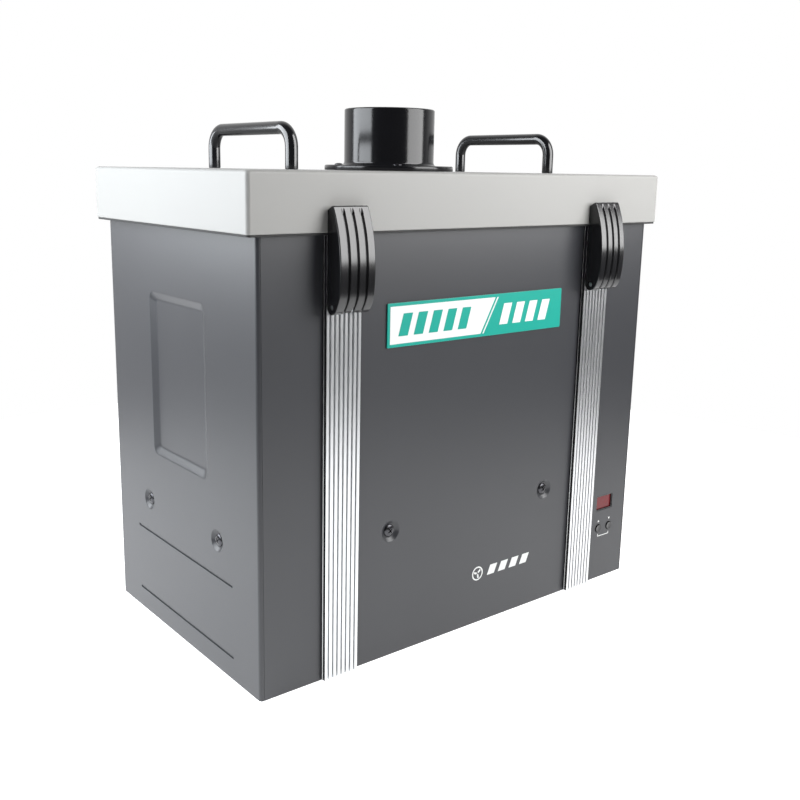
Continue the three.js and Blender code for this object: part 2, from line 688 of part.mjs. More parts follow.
add('blower_housing', blowerHousing(), 'blackPlastic');
add('blower_motor', motor(), 'zincSteel');
add('impeller', impeller(), 'blackPlastic');
add('exhaust_grille', exhaustGrille(), 'blackPlastic');
add('mains_inlet', mainsInlet(), 'blackPlastic');
add('switch_housing', switchHousing(), 'blackPlastic');
add('power_rocker', powerRocker(), 'redRocker');
add('power_board', powerBoard(), 'circuit');

export default assembly;
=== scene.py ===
# Solder fume extractor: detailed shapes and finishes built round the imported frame.
# Metres, +Z up, front towards -Y.
import json
import math

import bmesh
import bpy
from mathutils import Matrix, Vector

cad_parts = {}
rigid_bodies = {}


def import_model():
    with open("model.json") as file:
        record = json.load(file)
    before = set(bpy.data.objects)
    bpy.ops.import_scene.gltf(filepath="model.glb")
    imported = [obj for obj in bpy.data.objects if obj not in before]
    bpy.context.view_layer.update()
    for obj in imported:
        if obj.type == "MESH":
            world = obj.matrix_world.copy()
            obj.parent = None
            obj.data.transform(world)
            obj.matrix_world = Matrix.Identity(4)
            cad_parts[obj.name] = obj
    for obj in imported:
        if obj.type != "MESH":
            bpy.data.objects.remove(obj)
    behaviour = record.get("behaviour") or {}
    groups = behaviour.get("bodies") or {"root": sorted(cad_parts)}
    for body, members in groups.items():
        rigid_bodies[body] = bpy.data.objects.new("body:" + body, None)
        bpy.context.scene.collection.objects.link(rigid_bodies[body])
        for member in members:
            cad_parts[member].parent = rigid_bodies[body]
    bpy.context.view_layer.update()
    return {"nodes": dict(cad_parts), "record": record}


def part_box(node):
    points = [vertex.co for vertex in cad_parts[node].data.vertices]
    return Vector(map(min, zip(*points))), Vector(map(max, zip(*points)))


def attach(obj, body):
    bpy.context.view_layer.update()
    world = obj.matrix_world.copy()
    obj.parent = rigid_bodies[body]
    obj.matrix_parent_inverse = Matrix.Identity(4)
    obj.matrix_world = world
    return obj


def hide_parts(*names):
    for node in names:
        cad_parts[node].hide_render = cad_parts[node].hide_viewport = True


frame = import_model()
mm = 0.001
print("frame loaded:", len(frame["nodes"]), "nodes")

# Faces of the cabinet and lid, read from the frame.
cabinet = {
    "front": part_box("front_panel")[0].y,
    "rear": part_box("rear_panel")[1].y,
    "left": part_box("left_panel")[0].x,
    "right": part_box("right_panel")[1].x,
    "bottom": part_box("front_panel")[0].z,
    "top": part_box("front_panel")[1].z,
}
midY = (cabinet["front"] + cabinet["rear"]) / 2
lidLow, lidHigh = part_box("lid")
allPieces = bpy.context.scene.collection


# ---------- camera, light, floor ----------
cameraSet = {
    "place": (-0.5544, -0.6875, 0.3983),
    "azimuth": -38.32,
    "elevation": 12.05,
    "roll": 0.95,
    "lens": 43.53,
    "shift": (0.026, -0.0308),
}


def makeCamera():
    a, e, r = (math.radians(cameraSet[k]) for k in ("azimuth", "elevation", "roll"))
    back = Vector((math.sin(a) * math.cos(e), -math.cos(a) * math.cos(e), math.sin(e)))
    right = (-back).cross(Vector((0, 0, 1))).normalized()
    up = right.cross(-back)
    turned = right * math.cos(r) + up * math.sin(r)
    upright = up * math.cos(r) - right * math.sin(r)
    data = bpy.data.cameras.new("camera")
    data.lens = cameraSet["lens"]
    data.shift_x, data.shift_y = cameraSet["shift"]
    data.clip_start, data.clip_end = 0.05, 30
    camera = bpy.data.objects.new("camera", data)
    axes = Matrix((turned, upright, back)).transposed().to_4x4()
    camera.matrix_world = Matrix.Translation(cameraSet["place"]) @ axes
    allPieces.objects.link(camera)
    bpy.context.scene.camera = camera


studio = {
    "bright": 0.85,                      # room light behind the object
    "dark": 0.05,                        # room light on the camera's side
    "darkWay": (-0.62, -0.78, 0.0),
    "floorGlow": 0.85,
    "floorReach": 0.85,
    "left": {"azimuth": -112, "distance": 0.85, "low": 0.27, "size": (0.90, 0.80), "glow": 9.3,
             "tint": (0.92, 0.96, 1)},
    "right": {"azimuth": 31, "distance": 0.78, "low": 0.33, "size": (0.66, 1.0), "glow": 8.0,
              "tint": (1, 1, 1)},
}


# Soft room light, dimmer towards one side so that gloss has something dark to show.
# The backdrop itself is white.
def makeRoom():
    world = bpy.data.worlds.new("studio")
    world.use_nodes = True
    tree = world.node_tree
    background = tree.nodes["Background"]
    background.inputs["Color"].default_value = (1, 1, 1, 1)
    way = tree.nodes.new("ShaderNodeTexCoord")
    facing = addNode(tree, "ShaderNodeVectorMath", operation="DOT_PRODUCT")
    facing.inputs[1].default_value = Vector(studio["darkWay"]).normalized()
    dim = addNode(tree, "ShaderNodeMapRange", interpolation_type="SMOOTHSTEP", From_Min=-0.65, From_Max=0.0,
                  To_Min=studio["bright"], To_Max=studio["dark"])
    seen = tree.nodes.new("ShaderNodeLightPath")
    pick = addNode(tree, "ShaderNodeMix", data_type="FLOAT")
    pick.inputs["B"].default_value = 1
    tree.links.new(way.outputs["Generated"], facing.inputs[0])
    tree.links.new(facing.outputs["Value"], dim.inputs["Value"])
    tree.links.new(seen.outputs["Is Camera Ray"], pick.inputs["Factor"])
    tree.links.new(dim.outputs["Result"], pick.inputs["A"])
    tree.links.new(pick.outputs["Result"], background.inputs["Strength"])
    bpy.context.scene.world = world


def makeStudio():
    makeRoom()
    for name in ("left", "right"):
        given = studio[name]
        turn = math.radians(given["azimuth"])
        wide, tall = given["size"]
        height = given["low"] + tall / 2
        place = Vector((given["distance"] * math.sin(turn), -given["distance"] * math.cos(turn), height))
        data = bpy.data.lights.new(name + "_softbox", "AREA")
        data.shape = "RECTANGLE"
        data.size, data.size_y = wide, tall
        data.energy = given["glow"] * math.pi * wide * tall
        data.color = given["tint"]
        lamp = bpy.data.objects.new(name + "_softbox", data)
        aim = Vector((0, 0, height)) - place
        lamp.matrix_world = Matrix.Translation(place) @ aim.to_track_quat("-Z", "Y").to_matrix().to_4x4()
        allPieces.objects.link(lamp)
    view = bpy.context.scene.view_settings
    view.view_transform = "Standard"
    view.look = "None"
    mesh = bpy.data.meshes.new("floor")
    reach, count = studio["floorReach"], 96
    ring = [(reach * math.cos(2 * math.pi * i / count), reach * math.sin(2 * math.pi * i / count), 0)
            for i in range(count)]
    mesh.from_pydata(ring, [], [range(count)])
    floor = bpy.data.objects.new("floor", mesh)
    allPieces.objects.link(floor)
    pale, tree, surface = shader("pale_floor", (0.88, 0.88, 0.88), 0.7)
    surface.inputs["Emission Color"].default_value = (1, 1, 1, 1)
    surface.inputs["Emission Strength"].default_value = studio["floorGlow"]
    mesh.materials.append(pale)


# ---------- materials ----------
def shader(name, colour, roughness, **sockets):
    material = bpy.data.materials.new(name)
    material.use_nodes = True
    surface = material.node_tree.nodes["Principled BSDF"]
    surface.inputs["Base Color"].default_value = (*colour, 1)
    surface.inputs["Roughness"].default_value = roughness
    for socket, value in sockets.items():
        surface.inputs[socket.replace("_", " ")].default_value = value
    return material, material.node_tree, surface


def addNode(tree, kind, **values):
    node = tree.nodes.new(kind)
    for key, value in values.items():
        if hasattr(node, key):
            setattr(node, key, value)
        else:
            node.inputs[key.replace("_", " ")].default_value = value
    return node


def objectPlace(tree, scale=(1, 1, 1)):
    place = tree.nodes.new("ShaderNodeTexCoord")
    mapping = tree.nodes.new("ShaderNodeMapping")
    mapping.inputs["Scale"].default_value = scale
    tree.links.new(place.outputs["Object"], mapping.inputs["Vector"])
    return mapping.outputs["Vector"]


# Noise that drives colour, roughness and relief; grain is in features per metre.
def grained(name, colour, roughness, grain, relief, colourSpread=0.06, roughSpread=0.05, stretch=(1, 1, 1),
            detail=3.0, blotch=14.0, **sockets):
    material, tree, surface = shader(name, colour, roughness, **sockets)
    place = objectPlace(tree, stretch)
    fine = addNode(tree, "ShaderNodeTexNoise", Scale=grain, Detail=detail, Roughness=0.55)
    broad = addNode(tree, "ShaderNodeTexNoise", Scale=blotch, Detail=2.0)
    tree.links.new(place, fine.inputs["Vector"])
    tree.links.new(place, broad.inputs["Vector"])
    tint = addNode(tree, "ShaderNodeMapRange", To_Min=1 - colourSpread, To_Max=1 + colourSpread)
    tree.links.new(broad.outputs["Fac"], tint.inputs["Value"])
    shade = addNode(tree, "ShaderNodeMix", data_type="RGBA", blend_type="MULTIPLY")
    shade.inputs["Factor"].default_value = 1
    shade.inputs["A"].default_value = (*colour, 1)
    shade.inputs[6].default_value = (*colour, 1)
    tree.links.new(tint.outputs["Result"], shade.inputs[7])
    tree.links.new(shade.outputs[2], surface.inputs["Base Color"])
    rough = addNode(tree, "ShaderNodeMapRange", To_Min=roughness - roughSpread,
                    To_Max=roughness + roughSpread)
    tree.links.new(fine.outputs["Fac"], rough.inputs["Value"])
    tree.links.new(rough.outputs["Result"], surface.inputs["Roughness"])
    bump = addNode(tree, "ShaderNodeBump", Distance=relief, Strength=1.0)
    tree.links.new(fine.outputs["Fac"], bump.inputs["Height"])
    tree.links.new(bump.outputs["Normal"], surface.inputs["Normal"])
    return material


# Cells, for granules, foam and woven faces.
def celled(name, colour, dark, roughness, grain, relief, **sockets):
    material, tree, surface = shader(name, colour, roughness, **sockets)
    cells = addNode(tree, "ShaderNodeTexVoronoi", Scale=grain)
    tree.links.new(objectPlace(tree), cells.inputs["Vector"])
    ramp = tree.nodes.new("ShaderNodeValToRGB")
    ramp.color_ramp.elements[0].color = (*colour, 1)
    ramp.color_ramp.elements[1].color = (*dark, 1)
    ramp.color_ramp.elements[1].position = 0.75
    tree.links.new(cells.outputs["Distance"], ramp.inputs["Fac"])
    tree.links.new(ramp.outputs["Color"], surface.inputs["Base Color"])
    bump = addNode(tree, "ShaderNodeBump", Distance=relief, Strength=1.0, invert=True)
    tree.links.new(cells.outputs["Distance"], bump.inputs["Height"])
    tree.links.new(bump.outputs["Normal"], surface.inputs["Normal"])
    return material


greyPowder = grained("grey_powder_coat", (0.028, 0.029, 0.033), 0.36, 1500, 0.00002, 0.05, 0.05)
lidPowder = grained("pale_powder_coat", (0.275, 0.273, 0.264), 0.46, 1500, 0.00002, 0.015, 0.05,
                    Specular_IOR_Level=0.35)
zincSteel = grained("zinc_plated_steel", (0.50, 0.52, 0.53), 0.38, 260, 0.00001, 0.12, 0.10, blotch=60,
                    Metallic=1.0)
railAluminium = grained("bright_aluminium", (0.68, 0.69, 0.70), 0.31, 900, 0.000006, 0.03, 0.06,
                        (1, 1, 0.02), Metallic=1.0)
glossBlack = grained("gloss_black_moulding", (0.005, 0.005, 0.006), 0.15, 300, 0.000004, 0.1, 0.03,
                     Specular_IOR_Level=0.42)
enamelBlack = grained("black_enamel", (0.006, 0.006, 0.007), 0.16, 500, 0.000006, 0.1, 0.04,
                      Coat_Weight=0.3)
mouldedBlack = grained("moulded_black_plastic", (0.008, 0.008, 0.009), 0.18, 1800, 0.000008, 0.1, 0.04,
                       Specular_IOR_Level=0.65)
screwBlack = grained("black_zinc_screw", (0.06, 0.06, 0.065), 0.25, 1200, 0.00001, 0.1, 0.08, Metallic=0.9)
rubberBlack = grained("black_rubber", (0.013, 0.013, 0.013), 0.72, 1100, 0.00004, 0.15, 0.08)
sealFoam = celled("foam_seal", (0.035, 0.035, 0.037), (0.008, 0.008, 0.009), 0.9, 900, 0.0003)
tealPrint = grained("teal_print", (0.005, 0.27, 0.215), 0.32, 1500, 0.000006, 0.02, 0.04)
whitePrint = grained("white_print", (0.62, 0.63, 0.62), 0.38, 1500, 0.000006, 0.01, 0.04)
redWindow = grained("dark_red_window", (0.11, 0.005, 0.008), 0.14, 500, 0.000003, 0.08, 0.02,
                    Specular_IOR_Level=0.3)
circuitGreen = grained("circuit_board", (0.012, 0.13, 0.05), 0.35, 700, 0.00002, 0.15, 0.1)
fleece = celled("filter_fleece", (0.82, 0.81, 0.77), (0.58, 0.57, 0.53), 0.95, 1300, 0.0004)
fibreBoard = grained("fibreboard", (0.36, 0.24, 0.12), 0.82, 900, 0.00006, 0.12, 0.06)
pleatPaper = grained("pleated_paper", (0.83, 0.82, 0.76), 0.85, 1400, 0.00004, 0.03, 0.05)
carbonGranules = celled("carbon_granules", (0.03, 0.03, 0.031), (0.004, 0.004, 0.004), 0.75, 420, 0.0012)
rockerRed = grained("red_rocker", (0.30, 0.008, 0.012), 0.18, 500, 0.000004, 0.05, 0.03, Coat_Weight=0.3)
print("materials made")

makeCamera()
makeStudio()
print("camera and studio made")


# ---------- mesh helpers ----------
# On a side of the cabinet, local X runs along the side, Y is up and Z points outward.
def sideBasis(side, at, z):
    along, out, reach = {
        "front": (Vector((1, 0, 0)), Vector((0, -1, 0)), Vector((at, cabinet["front"], z))),
        "rear": (Vector((-1, 0, 0)), Vector((0, 1, 0)), Vector((at, cabinet["rear"], z))),
        "left": (Vector((0, -1, 0)), Vector((-1, 0, 0)), Vector((cabinet["left"], at, z))),
        "right": (Vector((0, 1, 0)), Vector((1, 0, 0)), Vector((cabinet["right"], at, z))),
    }[side]
    return Matrix.Translation(reach) @ Matrix((along, (0, 0, 1), out)).transposed().to_4x4()


upright = Matrix.Identity(4)


def arc(cx, cy, radius, start, end, count):
    return [(cx + radius * math.cos(start + (end - start) * i / count),
             cy + radius * math.sin(start + (end - start) * i / count)) for i in range(count + 1)]


def roundedBox(width, height, radius, cx=0.0, cy=0.0, count=6):
    x, y, q = width / 2 - radius, height / 2 - radius, math.pi / 2
    return (arc(cx + x, cy - y, radius, -q, 0, count) + arc(cx + x, cy + y, radius, 0, q, count)
            + arc(cx - x, cy + y, radius, q, 2 * q, count)
            + arc(cx - x, cy - y, radius, 2 * q, 3 * q, count))


def pieceFrom(name, bm, place=upright):
    bmesh.ops.remove_doubles(bm, verts=bm.verts, dist=1e-7)
    bmesh.ops.recalc_face_normals(bm, faces=bm.faces)
    mesh = bpy.data.meshes.new(name)
    bm.to_mesh(mesh)
    bm.free()
    mesh.transform(place)
    if place.determinant() < 0:
        mesh.flip_normals()
    piece = bpy.data.objects.new(name, mesh)
    allPieces.objects.link(piece)
    return piece


# Skin through equal outlines, each (points, depth), closed at both ends.
def loft(name, sections, place=upright):
    bm = bmesh.new()
    rings = [[bm.verts.new((x, y, z)) for x, y in points] for points, z in sections]
    for low, high in zip(rings, rings[1:]):
        for i in range(len(low)):
            j = (i + 1) % len(low)
            bm.faces.new((low[i], low[j], high[j], high[i]))
    bm.faces.new(list(reversed(rings[0])))
    bm.faces.new(rings[-1])
    return pieceFrom(name, bm, place)


def slab(name, outline, low, high, place=upright):
    return loft(name, [(outline, low), (outline, high)], place)


def bar(name, low, high):
    outline = [(low[0], low[1]), (high[0], low[1]), (high[0], high[1]), (low[0], high[1])]
    return slab(name, outline, low[2], high[2])


# Closed profile of (radius, height) turned about the local Z axis.
def turned(name, profile, place=upright, count=64):
    bm = bmesh.new()
    rings = []
    for radius, height in profile:
        if radius < 1e-7:
            rings.append([bm.verts.new((0, 0, height))] * count)
        else:
            turns = [2 * math.pi * i / count for i in range(count)]
            rings.append([bm.verts.new((radius * math.cos(t), radius * math.sin(t), height)) for t in turns])
    pairs = list(zip(rings, rings[1:] + rings[:1]))
    for low, high in pairs:
        for i in range(count):
            corners = []
            for v in (low[i], low[(i + 1) % count], high[(i + 1) % count], high[i]):
                if v not in corners:
                    corners.append(v)
            if len(corners) > 2:
                bm.faces.new(corners)
    return pieceFrom(name, bm, place)


def baked(piece):
    graph = bpy.context.evaluated_depsgraph_get()
    mesh = bpy.data.meshes.new_from_object(piece.evaluated_get(graph))
    piece.modifiers.clear()
    old = piece.data
    piece.data = mesh
    mesh.name = piece.name
    bpy.data.meshes.remove(old)
    return piece


def combine(piece, others, how):
    for other in others:
        modifier = piece.modifiers.new("shape", "BOOLEAN")
        modifier.operation = how
        modifier.solver = "EXACT"
        modifier.object = other
    baked(piece)
    for other in others:
        bpy.data.objects.remove(other)
    return piece


def carved(piece, *cutters):
    return combine(piece, cutters, "DIFFERENCE")


def united(piece, *others):
    return combine(piece, others, "UNION")


# One object from several, keeping each one's materials.
def gathered(name, pieces):
    materials = []
    bm = bmesh.new()
    for piece in pieces:
        start = len(bm.faces)
        bm.from_mesh(piece.data)
        bm.faces.ensure_lookup_table()
        for face in bm.faces[start:]:
            material = piece.data.materials[face.material_index] if piece.data.materials else None
            if material not in materials:
                materials.append(material)
            face.material_index = materials.index(material)
    mesh = bpy.data.meshes.new(name)
    bm.to_mesh(mesh)
    bm.free()
    for material in materials:
        mesh.materials.append(material)
    for piece in pieces:
        bpy.data.objects.remove(piece)
    whole = bpy.data.objects.new(name, mesh)
    allPieces.objects.link(whole)
    return whole


def finished(piece, material, edge=0.3 * mm, segments=2, angle=28, sharp=40):
    if edge:
        modifier = piece.modifiers.new("edges", "BEVEL")
        modifier.width = edge
        modifier.segments = segments
        modifier.limit_method = "ANGLE"
        modifier.angle_limit = math.radians(angle)
        modifier.use_clamp_overlap = True
        baked(piece)
    if material:
        piece.data.materials.clear()
        piece.data.materials.append(material)
    piece.data.shade_smooth()
    piece.data.set_sharp_from_angle(angle=math.radians(sharp))
    modifier = piece.modifiers.new("normals", "WEIGHTED_NORMAL")
    modifier.keep_sharp = True
    return baked(piece)


def standsFor(piece, body, slot, *replaced):
    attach(piece, body)
    if replaced:
        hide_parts(*replaced)
    return piece


# ---------- geometry node trees ----------
def newTree(name, sockets):
    tree = bpy.data.node_groups.new(name, "GeometryNodeTree")
    tree.interface.new_socket("Geometry", in_out="INPUT", socket_type="NodeSocketGeometry")
    tree.interface.new_socket("Geometry", in_out="OUTPUT", socket_type="NodeSocketGeometry")
    for label, kind in sockets:
        tree.interface.new_socket(label, in_out="INPUT", socket_type=kind)
    return tree, tree.nodes.new("NodeGroupInput"), tree.nodes.new("NodeGroupOutput")


def closeTree(tree, given, result, geometry):
    realize = tree.nodes.new("GeometryNodeRealizeInstances")
    paint = tree.nodes.new("GeometryNodeSetMaterial")
    tree.links.new(geometry, realize.inputs["Geometry"])
    tree.links.new(realize.outputs["Geometry"], paint.inputs["Geometry"])
    tree.links.new(given.outputs["Finish"], paint.inputs["Material"])
    tree.links.new(paint.outputs["Geometry"], result.inputs["Geometry"])


# Copies of an item in a straight row.
def rowTree():
    tree, given, result = newTree("row_of_items", [
        ("Item", "NodeSocketObject"), ("Count", "NodeSocketInt"), ("Start", "NodeSocketVector"),
        ("Step", "NodeSocketVector"), ("Finish", "NodeSocketMaterial")])
    line = tree.nodes.new("GeometryNodeMeshLine")
    item = tree.nodes.new("GeometryNodeObjectInfo")
    copies = tree.nodes.new("GeometryNodeInstanceOnPoints")
    tree.links.new(given.outputs["Count"], line.inputs["Count"])
    tree.links.new(given.outputs["Start"], line.inputs["Start Location"])
    tree.links.new(given.outputs["Step"], line.inputs["Offset"])
    tree.links.new(given.outputs["Item"], item.inputs["Object"])
    tree.links.new(line.outputs["Mesh"], copies.inputs["Points"])
    tree.links.new(item.outputs["Geometry"], copies.inputs["Instance"])
    closeTree(tree, given, result, copies.outputs["Instances"])
    return tree


# Copies of an item on loose points, each turned so that its Z follows the point's facing.
def scatterTree():
    tree, given, result = newTree("items_on_points",
                                  [("Item", "NodeSocketObject"), ("Finish", "NodeSocketMaterial")])
    item = tree.nodes.new("GeometryNodeObjectInfo")
    facing = tree.nodes.new("GeometryNodeInputNamedAttribute")
    facing.data_type = "FLOAT_VECTOR"
    facing.inputs["Name"].default_value = "facing"
    align = tree.nodes.new("FunctionNodeAlignRotationToVector")
    align.axis = "Z"
    copies = tree.nodes.new("GeometryNodeInstanceOnPoints")
    tree.links.new(given.outputs["Geometry"], copies.inputs["Points"])
    tree.links.new(given.outputs["Item"], item.inputs["Object"])
    tree.links.new(item.outputs["Geometry"], copies.inputs["Instance"])
    tree.links.new(facing.outputs["Attribute"], align.inputs["Vector"])
    tree.links.new(align.outputs["Rotation"], copies.inputs["Rotation"])
    closeTree(tree, given, result, copies.outputs["Instances"])
    return tree


rowOfItems = rowTree()
itemsOnPoints = scatterTree()


def grown(name, tree, values, points=None):
    mesh = bpy.data.meshes.new(name)
    if points:
        mesh.from_pydata([p for p, _ in points], [], [])
        facing = mesh.attributes.new("facing", "FLOAT_VECTOR", "POINT")
        for i, (_, way) in enumerate(points):
            facing.data[i].vector = way
    piece = bpy.data.objects.new(name, mesh)
    allPieces.objects.link(piece)
    modifier = piece.modifiers.new(name, "NODES")
    modifier.node_group = tree
    for item in tree.interface.items_tree:
        if item.in_out == "INPUT" and item.name in values:
            modifier[item.identifier] = values[item.name]
    baked(piece)
    bpy.data.objects.remove(values["Item"])
    return piece


# ---------- fasteners ----------
screwSizes = {"head": 5.0 * mm, "dome": 2.1 * mm, "cross": 1.0 * mm, "crossReach": 2.7 * mm}


# Pan head with a cross recess, its seat at local zero.
def panHead(scale=1.0):
    head, dome, cross, reach = (screwSizes[k] * scale for k in ("head", "dome", "cross", "crossReach"))
    profile = [(0, 0), (head * 0.98, 0), (head, dome * 0.15)]
    profile += [(head * math.cos(a), dome * (0.15 + 0.85 * math.sin(a)))
                for a in (0.25, 0.5, 0.8, 1.1, 1.35)]
    profile += [(0, dome)]
    screw = turned("screw", profile, count=32)
    arms = []
    for turn in (0, math.pi / 2):
        wide, tip = cross / 2, cross * 0.25
        top = [(-reach, -wide), (reach, -wide), (reach, wide), (-reach, wide)]
        low = [(-reach * 0.45, -tip), (reach * 0.45, -tip), (reach * 0.45, tip), (-reach * 0.45, tip)]
        arms.append(loft("arm", [(low, dome * 0.15), (top, dome * 1.1)],
                         Matrix.Rotation(turn + 0.6, 4, "Z")))
    carved(screw, *arms)
    return finished(screw, None, 0.12 * mm * scale, 2, 30, 30)


def screwsAt(name, places, scale, body, *replaced):
    screws = grown(name, itemsOnPoints, {"Item": panHead(scale), "Finish": screwBlack}, places)
    return standsFor(screws, body, "black_steel", *replaced)


# ---------- cabinet ----------
shell = {"sheet": 1.5 * mm, "bend": 3 * mm, "cup": 9.0 * mm, "cupFloor": 5.9 * mm, "cupDepth": 2.4 * mm,
         "screwZ": 113.5 * mm, "frontScrewX": 90 * mm, "sideScrewY": 60 * mm}


def cupCutter(place):
    rim, floor, depth = shell["cup"], shell["cupFloor"], shell["cupDepth"]
    profile = [(0, 2 * mm), (rim + 1.0 * mm, 2 * mm), (rim + 0.7 * mm, 0.12 * mm), (rim, -0.1 * mm),
               (rim - 0.5 * mm, -0.5 * mm), (floor + 0.5 * mm, -depth + 0.3 * mm), (floor - 0.2 * mm, -depth),
               (2.6 * mm, -depth), (2.6 * mm, -9 * mm), (0, -9 * mm)]
    return turned("cup", profile, place, 48)


def cupBoss(place):
    rim, depth = shell["cup"], shell["cupDepth"] + shell["sheet"]
    return turned("boss", [(0, -0.4 * mm), (rim + 0.3 * mm, -0.4 * mm), (rim - 2 * mm, -depth),
                           (0, -depth)], place, 48)


# Side panel in its local frame, with both upright edges bent round the corners.
def bentWall(name, half, place):
    bend, sheet, tail, q = shell["bend"], shell["sheet"], 0.2 * mm, math.pi / 2
    u, foot, thin = half - bend, -bend - tail, bend - sheet
    corners = [arc(-u, 0, bend, 2 * q, 3 * q, 10), arc(u, 0, bend, 3 * q, 4 * q, 10),
               arc(u, 0, thin, 4 * q, 3 * q, 10), arc(-u, 0, thin, 3 * q, 2 * q, 10)]
    left, right, farRight, farLeft = [[(x, -bend - y) for x, y in corner] for corner in corners]
    outline = [(-half, foot)] + left + right + [(half, foot), (half - sheet, foot)]
    outline += farRight + farLeft + [(-half + sheet, foot)]
    lying = Matrix(((1, 0, 0), (0, 0, 1), (0, 1, 0))).to_4x4()
    return slab(name, outline, cabinet["bottom"], cabinet["top"], place @ lying)


def flatWall(name, side):
    half = cabinet["right"] - shell["bend"] - 0.45 * mm
    outline = [(-half, cabinet["bottom"]), (half, cabinet["bottom"]), (half, cabinet["top"]),
               (-half, cabinet["top"])]
    return slab(name, outline, -shell["sheet"], 0, sideBasis(side, 0, 0))


windowAt = {"x": 179.5 * mm, "z": 82.7 * mm, "width": 23.5 * mm, "height": 15 * mm}
buttonPlaces = {"left": (172.3 * mm, 57 * mm), "right": (188 * mm, 57 * mm)}


def makeFrontPanel():
    panel = flatWall("front_cover", "front")
    places = [sideBasis("front", s * shell["frontScrewX"], shell["screwZ"]) for s in (-1, 1)]
    united(panel, *[cupBoss(p) for p in places])
    cutters = [cupCutter(p) for p in places]
    w, h = windowAt["width"], windowAt["height"]
    place = sideBasis("front", windowAt["x"], windowAt["z"])
    cutters.append(slab("window", roundedBox(w, h, 1 * mm), -4 * mm, 1 * mm, place))
    for x, z in buttonPlaces.values():
        cutters.append(turned("hole", [(0, 1 * mm), (4.3 * mm, 1 * mm), (4.3 * mm, -4 * mm), (0, -4 * mm)],
                              sideBasis("front", x, z), 40))
    carved(panel, *cutters)
    finished(panel, greyPowder, 0.25 * mm, 2, 40)
    standsFor(panel, "cabinet", "grey_powder", "front_panel")


dish = {"width": 94 * mm, "height": 139 * mm, "z": 228 * mm, "depth": 3 * mm, "slope": 7 * mm,
        "corner": 7 * mm}


# Sections of a shallow pressed tray, rounded where it leaves the sheet and where it meets its floor.
def dishSections(grow, drop):
    w, h, slope, depth, corner = dish["width"], dish["height"], dish["slope"], dish["depth"], dish["corner"]
    steps = [(-1.2, 0.35), (-0.6, 0.1), (0.0, -0.05), (0.6, -0.22), (1.4, -0.55),
             (5.6, -2.45), (6.3, -2.72), (7.0, -2.9), (8.0, -3.0)]
    sections = []
    for inset, level in steps:
        inset = inset / 7.0 * slope - grow
        radius = max(corner - inset * 0.6, 2 * mm)
        outline = roundedBox(w - 2 * inset, h - 2 * inset, radius, 0, 0, 8)
        sections.append((outline, level / 3.0 * depth - drop))
    return sections


def makeSidePanel(side):
    place = sideBasis(side, midY, 0)
    panel = bentWall(side + "_cover", (cabinet["rear"] - cabinet["front"]) / 2, place)
    raised = place @ Matrix.Translation((0, dish["z"], 0))
    united(panel, loft("bump", [s for s in dishSections(1.0 * mm, 1.4 * mm)][2:], raised))
    cups = [sideBasis(side, midY + s * shell["sideScrewY"], shell["screwZ"]) for s in (-1, 1)]
    united(panel, *[cupBoss(p) for p in cups])
    tray = dishSections(0, 0)
    cutters = [cupCutter(p) for p in cups] + [loft("tray", [(tray[0][0], 2 * mm)] + tray, raised)]
    for z in (24 * mm, 83.5 * mm):
        floor = roundedBox(165.6 * mm, 1.5 * mm, 0.74 * mm)
        wall = roundedBox(166.8 * mm, 2.2 * mm, 1.08 * mm)
        mouth = roundedBox(167 * mm, 2.6 * mm, 1.28 * mm)
        cutters.append(loft("groove", [(floor, -1.0 * mm), (wall, -0.15 * mm), (mouth, 0.3 * mm)],
                            place @ Matrix.Translation((0, z, 0))))
    carved(panel, *cutters)
    finished(panel, greyPowder, 0, 2, 40, 38)
    standsFor(panel, "cabinet", "grey_powder", side + "_panel")


rearSet = {"grille": (70 * mm, 74 * mm, 100 * mm, 72 * mm), "inlet": (-150 * mm, 50 * mm),
           "switch": (-150 * mm, 88 * mm)}


def makeRearPanel():
    panel = flatWall("rear_cover", "rear")
    x, z, w, h = rearSet["grille"]
    cutters = [slab("vent", roundedBox(w - 12 * mm, h - 12 * mm, 2 * mm), -4 * mm, 1 * mm,
                    sideBasis("rear", x, z)),
               slab("inlet", roundedBox(29 * mm, 22 * mm, 2 * mm), -4 * mm, 1 * mm,
                    sideBasis("rear", *rearSet["inlet"])),
               slab("switch", roundedBox(23 * mm, 15 * mm, 2 * mm), -4 * mm, 1 * mm,
                    sideBasis("rear", *rearSet["switch"]))]
    carved(panel, *cutters)
    finished(panel, greyPowder, 0.25 * mm, 2, 40)
    standsFor(panel, "cabinet", "grey_powder", "rear_panel")


def caseScrews():
    places = []
    z, sunk = shell["screwZ"], Vector((0, 0, 0.05 * mm - shell["cupDepth"]))
    for s in (-1, 1):
        places.append((sideBasis("front", s * shell["frontScrewX"], z) @ sunk, (0, -1, 0)))
        for side, way in (("left", (-1, 0, 0)), ("right", (1, 0, 0))):
            places.append((sideBasis(side, midY + s * shell["sideScrewY"], z) @ sunk, way))
    replaced = [f"front_{h}_screw" for h in ("left", "right")]
    replaced += [f"{h}_side_{w}_screw" for h in ("left", "right") for w in ("front", "rear")]
    screwsAt("case_screws", places, 1.04, "cabinet", *replaced)


makeFrontPanel()
for side in ("left", "right"):
    makeSidePanel(side)
makeRearPanel()
caseScrews()
print("cabinet panels made")


# ---------- lid ----------
lidSet = {"corner": 3 * mm, "edge": 2.6 * mm, "hem": 0.8 * mm, "sheet": 1.5 * mm, "bore": 38 * mm,
          "trim": (0.6 * mm, 2.4 * mm), "paintedShadowDrop": 1.6 * mm}
lidWidth, lidDepth = lidHigh.x - lidLow.x, lidHigh.y - lidLow.y
lidPlace = Matrix.Translation(((lidLow.x + lidHigh.x) / 2, (lidLow.y + lidHigh.y) / 2, 0))


